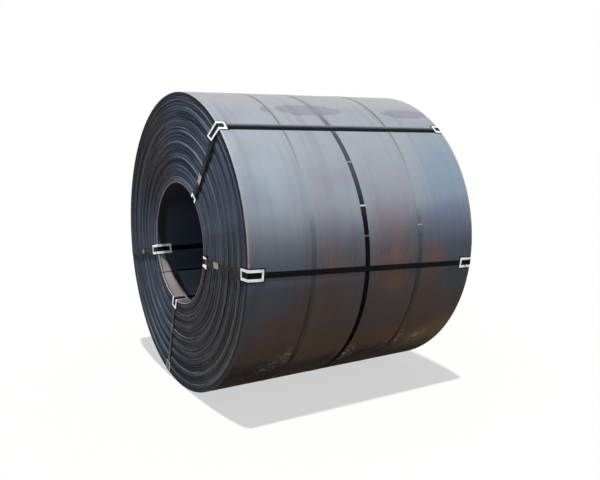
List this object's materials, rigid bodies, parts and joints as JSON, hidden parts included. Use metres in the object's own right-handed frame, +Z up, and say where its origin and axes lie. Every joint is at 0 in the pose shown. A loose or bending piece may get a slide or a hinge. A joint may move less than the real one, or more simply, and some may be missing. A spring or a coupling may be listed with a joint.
{
  "type": "steel coil",
  "caption": "Hot-rolled steel strip wound into a roll with an open eye, lying on its side, bound by belly straps and by eye straps over edge protectors.",
  "frame": {"origin": "on the floor, under the middle of the roll", "axes": "+X along the roll's axis from the near end to the far end, +Y away from the viewer, +Z up"},
  "size_m": [1.5841, 1.8689, 1.8676],
  "materials": {
    "mill_scale_steel": "dark blue-grey mill scale with rust tinges",
    "black_strap_steel": "black painted and waxed strap",
    "bare_strap_steel": "dull grey-green strap",
    "galvanised_sheet": "bright galvanised sheet",
    "seal_steel": "dull zinc-coated seal"
  },
  "bodies": {
    "root": {"belly_seal_far": "seal_steel", "belly_seal_middle": "seal_steel", "belly_seal_near": "seal_steel", "belly_strap_far": "bare_strap_steel", "belly_strap_middle": "black_strap_steel", "belly_strap_near": "bare_strap_steel", "coil": "mill_scale_steel", "eye_seal_bottom": "seal_steel", "eye_seal_left": "seal_steel", "eye_seal_right": "seal_steel", "eye_seal_top": "seal_steel", "eye_strap_bottom": "black_strap_steel", "eye_strap_left": "black_strap_steel", "eye_strap_right": "black_strap_steel", "eye_strap_top": "black_strap_steel", "protector_bottom_far_inner": "galvanised_sheet", "protector_bottom_far_outer": "galvanised_sheet", "protector_bottom_near_inner": "galvanised_sheet", "protector_bottom_near_outer": "galvanised_sheet", "protector_left_far_inner": "galvanised_sheet", "protector_left_far_outer": "galvanised_sheet", "protector_left_near_inner": "galvanised_sheet", "protector_right_far_inner": "galvanised_sheet", "protector_right_far_outer": "galvanised_sheet", "protector_right_near_inner": "galvanised_sheet", "protector_right_near_outer": "galvanised_sheet", "protector_top_far_inner": "galvanised_sheet", "protector_top_far_outer": "galvanised_sheet", "protector_top_near_inner": "galvanised_sheet", "protector_top_near_outer": "galvanised_sheet"}
  },
  "joints": []
}
